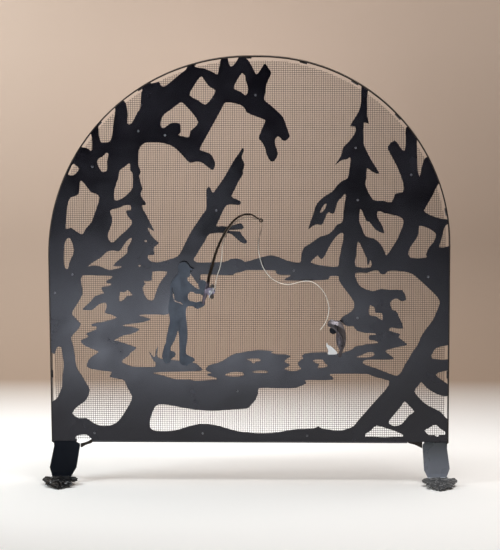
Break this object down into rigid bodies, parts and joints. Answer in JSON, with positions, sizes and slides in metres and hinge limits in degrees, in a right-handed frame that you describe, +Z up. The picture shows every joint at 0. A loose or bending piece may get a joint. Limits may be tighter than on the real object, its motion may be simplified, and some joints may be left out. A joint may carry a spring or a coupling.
{
  "type": "fireplace screen",
  "caption": "Arched free-standing fireplace screen: a cut-metal angling scene over fine wire mesh, with a raised angler, rod and fish, on leaf feet.",
  "frame": {"origin": "on the floor under the middle of the screen's width, in the plane of the scene panel's front face", "axes": "+Z up, +X to the right as seen from the room, +Y away from the room towards the fire; the front faces -Y"},
  "size_m": [0.954, 0.156, 0.982],
  "materials": {
    "panel": "satin dark powder coat",
    "bar": "satin dark powder coat",
    "mesh": "dark oxidised wire",
    "raised": "dark burnished steel",
    "wire": "dull bare wire",
    "tail": "bare brushed",
    "fastener": "dull zinc"
  },
  "bodies": {
    "root": {"scene_panel": "panel", "arch_band": "bar", "bottom_bar": "bar", "spark_mesh": "mesh", "mesh_rivets": "fastener", "mesh_washers": "fastener", "angler": "raised", "angler_pins": "raised", "rod": "raised", "rod_guides": "wire", "reel_frame": "raised", "reel_spool": "wire", "reel_handle": "raised", "reel_knobs": "raised", "fishing_line": "wire", "fish_body": "raised", "fish_fin": "raised", "fish_tail": "tail", "fish_pins": "raised", "left_foot": "panel", "right_foot": "panel", "left_leaf": "panel", "right_leaf": "panel", "left_rear_leg": "panel", "right_rear_leg": "panel", "left_brace": "bar", "right_brace": "bar", "foot_bolts": "fastener", "foot_washers": "fastener", "foot_nuts": "fastener"}
  },
  "joints": []
}
